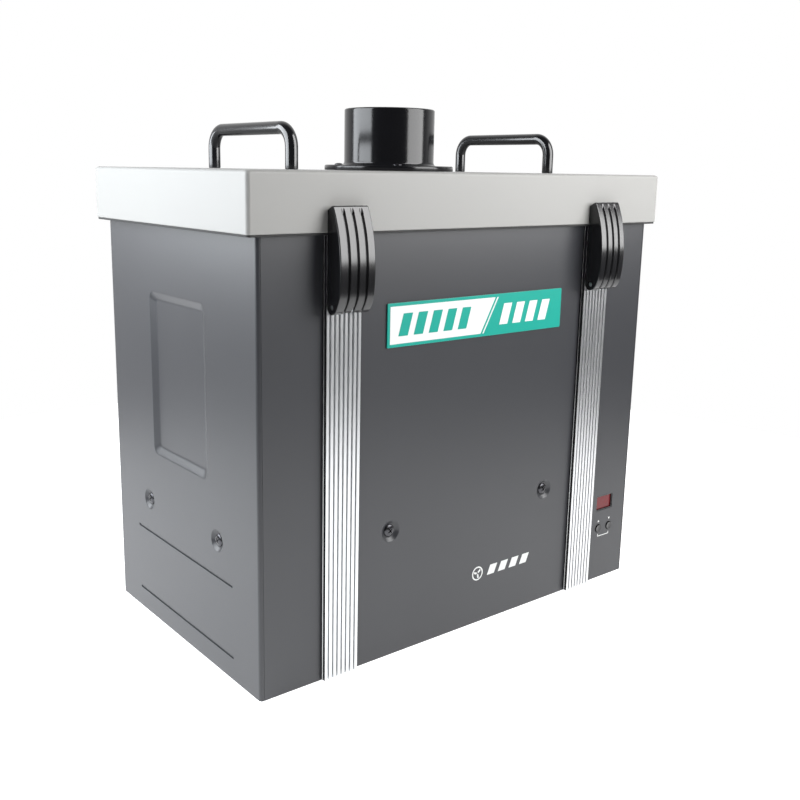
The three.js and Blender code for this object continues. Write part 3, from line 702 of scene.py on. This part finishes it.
def makeLid():
    corner, edge, sheet = lidSet["corner"], lidSet["edge"], lidSet["sheet"]
    hem = lidSet["hem"]
    outer = [(hem * (1 - math.cos(a)), lidLow.z + hem * (1 - math.sin(a)))
             for a in (1.57, 1.1, 0.7, 0.35, 0)]
    outer += [(0, lidHigh.z - edge)]
    outer += [(edge * (1 - math.cos(a)), lidHigh.z - edge + edge * math.sin(a))
              for a in (0.3, 0.6, 0.9, 1.2, math.pi / 2)]
    sections = [(roundedBox(lidWidth - 2 * i, lidDepth - 2 * i, corner, 0, 0, 8), z) for i, z in outer]
    lid = loft("lid_shell", sections, lidPlace)
    fold = 9 * mm
    inner = [(sheet + 0.2 * mm, lidLow.z - 1 * mm), (sheet + 0.4 * mm, lidLow.z + 0.6 * mm),
             (sheet + 0.4 * mm, lidLow.z + fold), (sheet, lidLow.z + fold + 0.4 * mm),
             (sheet, lidHigh.z - sheet)]
    room = loft("room", [(roundedBox(lidWidth - 2 * i, lidDepth - 2 * i, 2 * mm, 0, 0, 8), z)
                         for i, z in inner], lidPlace)
    bore = lidSet["bore"]
    under, over = lidHigh.z - 9 * mm, lidHigh.z + 9 * mm
    hole = turned("bore", [(0, under), (bore, under), (bore, over), (0, over)], lidPlace, 72)
    carved(lid, room, hole)
    finished(lid, lidPowder, 0, 2, 40, 32)
    # Black strip under the hem: painted shadow standing in for the shade in the gap between lid and cabinet.
    out, thick = lidSet["trim"]
    rows = [(lidWidth - 2 * i, lidDepth - 2 * i) for i in (out, out + thick)]
    trim = slab("trim", roundedBox(*rows[0], corner), lidLow.z - lidSet["paintedShadowDrop"], lidLow.z + 0.1 * mm,
                lidPlace)
    carved(trim, slab("gap", roundedBox(*rows[1], 2 * mm), lidLow.z - 9 * mm, lidLow.z + 9 * mm, lidPlace))
    finished(trim, rubberBlack, 0.3 * mm)
    standsFor(gathered("lid_shell", [lid, trim]), "lid", "white_powder", "lid")


collar = {"outer": 40 * mm, "inner": 37 * mm, "flange": 57.5 * mm, "flangeThick": 4.5 * mm,
          "fillet": 3 * mm, "screwCircle": 49 * mm}


# Round spigot and its flange in one turned shape, lip and edges rounded.
def makeCollar():
    low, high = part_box("hose_collar")
    outer, inner, flange = (collar[k] for k in ("outer", "inner", "flange"))
    thick, fillet = collar["flangeThick"], collar["fillet"]
    seat, top, foot = low.z, high.z, low.z + thick
    lip, edge = (outer - inner) / 2, 1.6 * mm
    profile = [(inner, seat), (flange - 0.5 * mm, seat), (flange, seat + 0.5 * mm), (flange, foot - edge)]
    profile += [(flange - edge + edge * math.cos(a), foot - edge + edge * math.sin(a))
                for a in (0.3, 0.6, 0.9, 1.2, 1.57)]
    profile += [(outer + fillet + 0.4 * mm, foot)]
    profile += [(outer + fillet - fillet * math.sin(a), foot + fillet - fillet * math.cos(a))
                for a in (0.0, 0.3, 0.6, 0.9, 1.2, 1.57)]
    profile += [(outer, top - lip)]
    profile += [(outer - lip + lip * math.cos(a), top - lip + lip * math.sin(a))
                for a in (0.4, 0.8, 1.2, 1.57, 1.95, 2.35, 2.75)]
    profile += [(inner, top - lip)]
    spigot = turned("hose_spigot", profile, lidPlace, 128)
    finished(spigot, glossBlack, 0, 2, 40, 50)
    standsFor(spigot, "lid", "black_gloss", "hose_collar")
    centre, reach = lidPlace.translation, collar["screwCircle"]
    places = []
    for i in range(3):
        turn = 2 * math.pi * i / 3
        places.append(((centre.x + reach * math.cos(turn), centre.y + reach * math.sin(turn),
                        foot + 0.05 * mm), (0, 0, 1)))
    screwsAt("collar_screws", places, 0.8, "lid", *[f"collar_screw_{i}" for i in range(1, 4)])


handleSet = {"rod": 5 * mm, "bend": 15 * mm, "height": 36.5 * mm, "pitch": 120 * mm}


# Bar swept along an arch in the Y-Z plane.
def makeHandle(hand):
    low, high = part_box(hand + "_handle")
    x, y, base = (low.x + high.x) / 2, (low.y + high.y) / 2, lidHigh.z
    radius, bend, half = handleSet["rod"], handleSet["bend"], handleSet["pitch"] / 2
    top = base + handleSet["height"] - radius
    route = [(-half, base + 0.25 * mm), (-half, base + 0.8 * mm), (-half, top - bend)]
    route += arc(-half + bend, top - bend, bend, math.pi, math.pi / 2, 14)[1:]
    route += arc(half - bend, top - bend, bend, math.pi / 2, 0, 14)
    route += [(half, base + 0.8 * mm), (half, base + 0.25 * mm)]
    bm = bmesh.new()
    count = 32
    rings = []
    for i, (v, z) in enumerate(route):
        before, after = Vector(route[max(i - 1, 0)]), Vector(route[min(i + 1, len(route) - 1)])
        way = (after - before).normalized()
        side = Vector((0, -way.y, way.x))
        size = radius - (0.5 * mm if i in (0, len(route) - 1) else 0)
        centre, across = Vector((x, y + v, z)), Vector((1, 0, 0))
        turns = [2 * math.pi * k / count for k in range(count)]
        rings.append([bm.verts.new(centre + across * size * math.cos(t) + side * size * math.sin(t))
                      for t in turns])
    for a, b in zip(rings, rings[1:]):
        for k in range(count):
            bm.faces.new((a[k], a[(k + 1) % count], b[(k + 1) % count], b[k]))
    bm.faces.new(rings[0])
    bm.faces.new(list(reversed(rings[-1])))
    bow = pieceFrom(hand + "_grip", bm)
    finished(bow, enamelBlack, 0, 2, 40, 50)
    standsFor(bow, "lid", "black_steel", hand + "_handle")


makeLid()
makeCollar()
for hand in ("left", "right"):
    makeHandle(hand)
print("lid made")


# ---------- rails and latches ----------
railSet = {"ribs": 8, "base": 1.0 * mm, "crown": 0.5 * mm}


# Extruded strip: a flat back with a row of crowned ribs.
def makeRail(hand):
    low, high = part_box(hand + "_rail")
    width, proud = high.x - low.x, high.y - low.y
    pitch = width / railSet["ribs"]
    half, crown, base = pitch * 0.36, railSet["crown"], railSet["base"]
    outline = [(-pitch / 2, -base + 0.3 * mm), (-half, -base - 0.1 * mm),
               (-half + 0.1 * mm, -proud + crown)]
    outline += arc(-half + crown + 0.1 * mm, -proud + crown, crown, math.pi, 1.5 * math.pi, 4)
    outline += arc(half - crown - 0.1 * mm, -proud + crown, crown, 1.5 * math.pi, 2 * math.pi, 4)
    outline += [(half, -base - 0.1 * mm), (pitch / 2, -base + 0.3 * mm)]
    rib = slab("rib", outline, low.z, high.z)
    start = (low.x + pitch / 2, high.y, 0)
    ribs = grown("ribs", rowOfItems,
                 {"Item": rib, "Count": railSet["ribs"], "Start": start, "Step": (pitch, 0, 0),
                                      "Finish": railAluminium})
    back = bar("back", (low.x, high.y - base, low.z), (high.x, high.y, high.z))
    finished(back, railAluminium, 0.2 * mm)
    finished(ribs, None, 0, 2, 40, 40)
    rail = gathered(hand + "_ribbed_rail", [back, ribs])
    # The rail's upright side faces are made black: painted shade along the rail's flanks.
    rail.data.materials.append(mouldedBlack)
    for face in rail.data.polygons:
        if abs(face.normal.x) > 0.7 and not low.x + 1.2 * mm < face.center.x < high.x - 1.2 * mm:
            face.material_index = 1
    standsFor(rail, "cabinet", "aluminium", hand + "_rail")


leverSet = {"pivot": (midY - 133.4 * mm, 300.6 * mm), "width": 31.5 * mm, "grooves": 3,
            "grooveDepth": 1.7 * mm, "grooveWidth": 2.1 * mm, "edge": 0.9 * mm}


# Front of the lever, from below its pin up and over its top edge, as (Y, Z) points.
def leverFront():
    pivotY, pivotZ = leverSet["pivot"]
    curves = [((-140.6, 296.0), (-142.9, 309.0), 16), ((-145.3, 325.5), (-143.1, 342.0), 14),
              ((-141.6, 356.0), (-134.9, 371.0), 16),
              ((-134.1, 372.9), (-132.6, 372.4), 6)]
    points, p = [], (pivotY, pivotZ - 5.3 * mm)
    for bend, end, count in curves:
        q, r = [(midY + y * mm, z * mm) for y, z in (bend, end)]
        for i in range(count):
            t = i / count
            points.append(tuple((1 - t) ** 2 * p[k] + 2 * t * (1 - t) * q[k] + t * t * r[k]
                                for k in (0, 1)))
        p = r
    points.append(p)
    return points


def smoothStep(t):
    t = min(1.0, max(0.0, t))
    return t * t * (3 - 2 * t)


# Grid over the front, dipped in grooves that fade out at both ends, closed with flat sides and back.
def makeLever(hand):
    low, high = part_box(hand + "_latch_lever")
    centre, back = (low.x + high.x) / 2, high.y
    front = leverFront()
    width, depth, groove = (leverSet[k] for k in ("width", "grooveDepth", "grooveWidth"))
    edge, count = leverSet["edge"], leverSet["grooves"]
    pitch, columns = width / (count + 1), 104
    normals = []
    for j in range(len(front)):
        (y0, z0), (y1, z1) = front[max(j - 1, 0)], front[min(j + 1, len(front) - 1)]
        size = math.hypot(y1 - y0, z1 - z0)
        normals.append(((z1 - z0) / size, -(y1 - y0) / size))
    pivotY, pivotZ = leverSet["pivot"]
    rear = [(back, 369.5 * mm), (back, pivotZ)]
    rear += [(pivotY + 5.3 * mm * math.cos(a), pivotZ - 5.3 * mm * math.sin(a))
             for a in (0.3, 0.6, 0.9, 1.2)]
    bm = bmesh.new()
    rings = []
    for i in range(columns + 1):
        u = -width / 2 + width * i / columns
        nearest = min(abs(u - (k - (count - 1) / 2) * pitch) for k in range(count))
        dip = 1 - smoothStep((nearest - groove * 0.22) / (groove * 0.5))
        side = max(0.0, (abs(u) - (width / 2 - edge)) / edge)
        ring = []
        for j, (y, z) in enumerate(front):
            fade = smoothStep((z - 295.2 * mm) / (2 * mm)) * smoothStep((369.8 * mm - z) / (2.5 * mm))
            rounded = edge * (1 - math.sqrt(1 - min(side, 1.0) ** 2))
            inset = dip * depth * fade + rounded * smoothStep((z - pivotZ + 5.3 * mm) / (2 * mm))
            ring.append(bm.verts.new((centre + u, y + inset * normals[j][0], z + inset * normals[j][1])))
        ring += [bm.verts.new((centre + u, y, z)) for y, z in rear]
        rings.append(ring)
    for a, b in zip(rings, rings[1:]):
        for j in range(len(a)):
            k = (j + 1) % len(a)
            bm.faces.new((a[j], b[j], b[k], a[k]))
    bm.faces.new(rings[0])
    bm.faces.new(rings[-1])
    lever = pieceFrom(hand + "_lever", bm)
    reach = 7 * mm
    notch = bar("notch", (centre - reach, pivotY - 3.4 * mm, 290 * mm),
                (centre + reach, back + 2 * mm, pivotZ + 3.5 * mm))
    nose = turned("nose", [(0, -reach), (4.4 * mm, -reach), (4.4 * mm, reach), (0, reach)],
                  Matrix.Translation((centre, pivotY, pivotZ)) @ Matrix.Rotation(math.pi / 2, 4, "Y"), 32)
    pin = turned("pin", [(0, -20 * mm), (2.2 * mm, -20 * mm), (2.2 * mm, 20 * mm), (0, 20 * mm)],
                 Matrix.Translation((centre, pivotY, pivotZ)) @ Matrix.Rotation(math.pi / 2, 4, "Y"), 24)
    carved(lever, notch, nose, pin)
    finished(lever, mouldedBlack, 0, 2, 40, 42)
    standsFor(lever, hand + "_latch", "black_plastic", hand + "_latch_lever")


for hand in ("left", "right"):
    makeRail(hand)
    makeLever(hand)
print("rails and latches made")


# ---------- front panel fittings ----------
badgeSet = {
    "width": 196 * mm, "height": 34.5 * mm, "z": 281 * mm, "border": 2.6 * mm,
    "slashLow": 1.7 * mm, "slashTop": 17.7 * mm,       # foot and top of the slanted divide
    "divide": (1.0 * mm, 2.4 * mm),                    # its two edges, from the slash
    "fieldGap": 1.2 * mm,
    "print": 0.12 * mm,
    "bar": 9.5 * mm, "barLean": 5 * mm, "barPitch": 15.5 * mm, "barTall": 0.30,
    "tealBars": 5, "tealStart": 8 * mm, "whiteBars": 4, "whiteStart": 22 * mm,
}


# Label plate: a teal plate, a white field left of a slanted divide, and slanted bars in place of any name.
def makeBadge():
    low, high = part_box("badge_plate")
    place = sideBasis("front", 0, badgeSet["z"])
    face, thick = cabinet["front"] - low.y, badgeSet["print"]
    w, h, border = badgeSet["width"], badgeSet["height"], badgeSet["border"]
    plate = slab("plate", roundedBox(w, h, 1 * mm), cabinet["front"] - high.y, face, place)
    parts = [finished(plate, tealPrint, 0.2 * mm)]
    left, top, foot = -w / 2 + border, h / 2 - border, -h / 2 + border
    slashLow, slashTop, gap = badgeSet["slashLow"], badgeSet["slashTop"], badgeSet["fieldGap"]

    def printed(outline, level, sink, material):
        parts.append(finished(slab("print", outline, level - sink, level + thick, place), material, 0))

    sink, near, far = 0.02 * mm, *badgeSet["divide"]
    field = [(left, foot), (slashLow - gap, foot), (slashTop - gap, top), (left, top)]
    printed(field, face, sink, whitePrint)
    divide = [(slashLow + near, foot), (slashLow + far, foot), (slashTop + far, top), (slashTop + near, top)]
    printed(divide, face, sink, whitePrint)
    tall, wide, lean = (top - foot) * badgeSet["barTall"], badgeSet["bar"], badgeSet["barLean"]
    rows = [(badgeSet["tealBars"], left + badgeSet["tealStart"], face + thick, sink / 2, tealPrint),
            (badgeSet["whiteBars"], badgeSet["whiteStart"], face, sink, whitePrint)]
    for count, start, level, sink, material in rows:
        for i in range(count):
            x = start + badgeSet["barPitch"] * i
            outline = [(x, -tall), (x + wide, -tall), (x + wide + lean, tall), (x + lean, tall)]
            printed(outline, level, sink, material)
    standsFor(gathered("label_plate", parts), "cabinet", "teal_print", "badge_plate")


def makeWindow():
    low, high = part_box("display_window")
    place = sideBasis("front", windowAt["x"], windowAt["z"])
    near, far = cabinet["front"] - low.y, cabinet["front"] - high.y
    pane = slab("pane", roundedBox(high.x - low.x, high.z - low.z, 1.5 * mm), far, near, place)
    parts = [finished(pane, redWindow, 0.3 * mm)]
    w, h = windowAt["width"], windowAt["height"]
    outer = roundedBox(w - 0.4 * mm, h - 0.4 * mm, 0.9 * mm)
    frameRing = slab("bezel", outer, near + 0.02 * mm, -0.5 * mm, place)
    carved(frameRing, slab("gap", roundedBox(w - 2.0 * mm, h - 2.0 * mm, 0.6 * mm), near - 1 * mm, 1 * mm,
                           place))
    parts.append(finished(frameRing, mouldedBlack, 0.15 * mm))
    standsFor(gathered("display_pane", parts), "cabinet", "red_window", "display_window")


def makeButton(hand):
    x, z = buttonPlaces[hand]
    profile = [(0, -5), (2, -5), (2, -3.2), (5, -3.2), (5, -1.8), (3.9, -1.8), (3.9, 0.45), (3.75, 0.75),
               (3.45, 0.9), (2.6, 0.72), (1.4, 0.58), (0, 0.52)]
    profile = [(r * mm, h * mm) for r, h in profile]
    cap = turned(hand + "_cap", profile, sideBasis("front", x, z), 40)
    finished(cap, mouldedBlack, 0, 2, 40, 35)
    standsFor(cap, hand + "_button", "black_plastic", hand + "_button")


# White marks beside the buttons, and a fan emblem with slanted bars low on the panel.
def makePrint():
    parts = []
    thin = 0.06 * mm

    def flat(outline, x, z):
        parts.append(slab("mark", outline, 0.01 * mm, thin, sideBasis("front", x, z)))

    for (x, z), tip in zip(buttonPlaces.values(), (1, -1)):
        flat([(-1.3 * mm, -tip * 1.0 * mm), (1.3 * mm, -tip * 1.0 * mm), (0, tip * 1.2 * mm)][::tip],
             x, z + 7.6 * mm)
    (x0, z0), (x1, _) = buttonPlaces.values()
    flat(roundedBox(x1 - x0 + 0.8 * mm, 0.8 * mm, 0.2 * mm), (x0 + x1) / 2, z0 - 8.2 * mm)
    for x in (x0, x1):
        flat(roundedBox(0.8 * mm, 2.4 * mm, 0.2 * mm), x, z0 - 7.2 * mm)

    x, z, radius = 9.5 * mm, 51.5 * mm, 6.4 * mm
    hole, base = radius - 1.2 * mm, 0.01 * mm
    parts.append(turned("ring", [(radius, base), (radius, thin), (hole, thin), (hole, base)],
                        sideBasis("front", x, z), 48))
    for turn in range(3):
        a = turn * 2 * math.pi / 3 + 0.4
        blade = [(0.5 * mm, -0.5 * mm), (4.3 * mm, 0.5 * mm), (4.0 * mm, 2.2 * mm), (1.0 * mm, 1.4 * mm)]
        flat([(u * math.cos(a) - v * math.sin(a), u * math.sin(a) + v * math.cos(a)) for u, v in blade],
             x, z)
    for i in range(4):
        flat([(-6.2 * mm, -4.4 * mm), (2.4 * mm, -4.4 * mm), (6.2 * mm, 4.4 * mm), (-2.4 * mm, 4.4 * mm)],
             (27.5 + 13.6 * i) * mm, z)
    for piece in parts:
        finished(piece, whitePrint, 0)
    standsFor(gathered("panel_print", parts), "cabinet", "teal_print")


makeBadge()
makeWindow()
for hand in ("left", "right"):
    makeButton(hand)
makePrint()
print("front fittings made")


# ---------- feet and finishes of the carried-over parts ----------
def makeFoot(name):
    low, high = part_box(name)
    place = Matrix.Translation(((low.x + high.x) / 2, (low.y + high.y) / 2, low.z))
    tall, wide = high.z - low.z, (high.x - low.x) / 2
    profile = [(0, 1.6 * mm), (5 * mm, 1.6 * mm), (6 * mm, 0), (wide - 2.2 * mm, 0),
               (wide - 1.0 * mm, 0.4 * mm), (wide - 0.2 * mm, 1.4 * mm), (wide, 2.4 * mm), (wide, tall), (0, tall)]
    foot = turned(name + "_pad", profile, place, 48)
    finished(foot, rubberBlack, 0, 2, 40, 35)
    standsFor(foot, "cabinet", "rubber", name)


for depth in ("front", "rear"):
    for hand in ("left", "right"):
        makeFoot(f"{depth}_{hand}_foot")

finishOf = {
    "grey_powder": greyPowder, "white_powder": lidPowder, "zinc_steel": zincSteel, "black_steel": enamelBlack,
    "aluminium": railAluminium, "black_gloss": glossBlack, "black_plastic": mouldedBlack,
    "rubber": rubberBlack, "foam": sealFoam, "teal_print": tealPrint, "red_window": redWindow,
    "red_rocker": rockerRed, "circuit_board": circuitGreen, "charcoal": carbonGranules,
    "filter_board": fibreBoard, "filter_fleece": fleece,
}
slots = {entry["node"]: entry["material_slot"] for entry in frame["record"]["subparts"]}


# ---------- filters ----------
filterSet = {"board": 6 * mm, "corner": 4 * mm, "recess": 3 * mm, "mainPleats": 44, "paddedPleats": 26,
             "paper": 0.5 * mm, "wire": 0.8 * mm, "wires": (17, 9)}


# Open board frame of a filter, and the room inside it as (low, high).
def filterFrame(name, finish):
    low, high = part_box(name)
    board, recess = filterSet["board"], filterSet["recess"]
    centre = Matrix.Translation(((low.x + high.x) / 2, (low.y + high.y) / 2, 0))
    wide, deep = high.x - low.x, high.y - low.y
    case = slab(name + "_case", roundedBox(wide, deep, filterSet["corner"]), low.z, high.z, centre)
    inner = roundedBox(wide - 2 * board, deep - 2 * board, 2 * mm)
    carved(case, slab("room", inner, low.z - mm, high.z + mm, centre))
    finished(case, finish, 0.6 * mm, 3)
    inset = Vector((board - 0.3 * mm, board - 0.3 * mm, recess))
    return case, low + inset, high - inset


# Zigzag sheet running the length of the filter, one fold after another.
def folds(low, high, count, thick, crown, finish):
    pitch, q = (high.x - low.x) / count, math.pi / 2
    rise = high.z - low.z
    turn = math.atan2(rise, pitch / 2)
    side, drop = thick / math.sin(turn), thick / math.cos(turn)
    peak = [(pitch / 2 + crown * math.sin(a), high.z - crown * (1 - math.cos(a)) * 0.8)
            for a in (-q * 0.9, -q / 2, 0, q / 2, q * 0.9)]
    outline = [(0, low.z)] + peak + [(pitch, low.z), (pitch - side, low.z),
                                     (pitch / 2, high.z - min(drop, rise * 0.5)), (side, low.z)]
    lying = Matrix(((1, 0, 0), (0, 0, 1), (0, 1, 0))).to_4x4()
    fold = slab("fold", outline[::-1], low.y, high.y, lying)
    values = {"Item": fold, "Count": count, "Start": (low.x, 0, 0), "Step": (pitch, 0, 0), "Finish": finish}
    return finished(grown("folds", rowOfItems, values), None, 0, 2, 40, 50)


def makeFilters():
    case, low, high = filterFrame("main_filter", fibreBoard)
    parts = [case, folds(low, high, filterSet["mainPleats"], filterSet["paper"], 0.5 * mm, pleatPaper)]
    standsFor(gathered("pleated_filter", parts), "main_filter", "filter_board", "main_filter")
    case, low, high = filterFrame("pre_filter", fibreBoard)
    parts = [case, folds(low, high, filterSet["paddedPleats"], 2 * mm, 2.4 * mm, fleece)]
    standsFor(gathered("padded_filter", parts), "pre_filter", "filter_fleece", "pre_filter")
    case, low, high = filterFrame("carbon_filter", fibreBoard)
    bed = bar("bed", low + Vector((0, 0, 2 * mm)), high - Vector((0, 0, 2.2 * mm)))
    parts = [case, finished(bed, carbonGranules, 0)]
    r, (across, along) = filterSet["wire"], filterSet["wires"]
    for count, axis in ((across, 0), (along, 1)):
        span = high[axis] - low[axis]
        step = span / (count + 1)
        ends = (low.y, high.y) if axis == 0 else (low.x, high.x)
        lying = Matrix.Rotation(-math.pi / 2, 4, "X") if axis == 0 else Matrix.Rotation(math.pi / 2, 4, "Y")
        wire = turned("wire", [(0, ends[0]), (r, ends[0]), (r, ends[1]), (0, ends[1])], lying, 12)
        start, move = [0, 0, high.z - (2.2 * mm - r * (0.9 if axis == 0 else 1.9))], [0, 0, 0]
        start[axis], move[axis] = low[axis] + step, step
        values = {"Item": wire, "Count": count, "Start": start, "Step": move, "Finish": zincSteel}
        parts.append(finished(grown("wires", rowOfItems, values), None, 0))
    standsFor(gathered("carbon_tray", parts), "carbon_filter", "charcoal", "carbon_filter")


makeFilters()
print("filters made")


# ---------- inner parts and rear fittings, worked up from their own shapes ----------
edgeWidths = {
    "base_pan": 0.8, "filter_deck": 0.6, "top_rim": 0.6, "blower_housing": 1.6, "blower_motor": 1.2,
    "impeller": 0.35, "control_board": 0.25, "power_board": 0.4, "lid_gasket": 2.0, "mains_inlet": 0.5,
    "switch_housing": 0.6, "power_rocker": 0.9, "exhaust_grille": 0.5, "body_hinge_leaf": 0.3,
    "lid_hinge_leaf": 0.3, "hinge_pin": 0.2, "left_latch_bracket": 0.4, "right_latch_bracket": 0.4,
    "left_latch_pin": 0.3, "right_latch_pin": 0.3, "front_left_post": 0.6, "front_right_post": 0.6,
    "rear_left_post": 0.6, "rear_right_post": 0.6,
}


def softened(name, edge):
    node = frame["nodes"][name]
    bm = bmesh.new()
    bm.from_mesh(node.data)
    bm.transform(node.matrix_world)
    bmesh.ops.remove_doubles(bm, verts=bm.verts, dist=1e-6)
    bmesh.ops.dissolve_limit(bm, angle_limit=math.radians(0.6), verts=bm.verts, edges=bm.edges)
    piece = pieceFrom(name + "_worked", bm)
    finished(piece, finishOf[slots[name]], edge * mm, 3, 30, 40)
    return standsFor(piece, node.parent.name.split(":")[1], slots[name], name)


for name, edge in edgeWidths.items():
    softened(name, edge)
print("inner parts made")

for name, node in frame["nodes"].items():
    node.data.materials.clear()
    node.data.materials.append(finishOf[slots[name]])
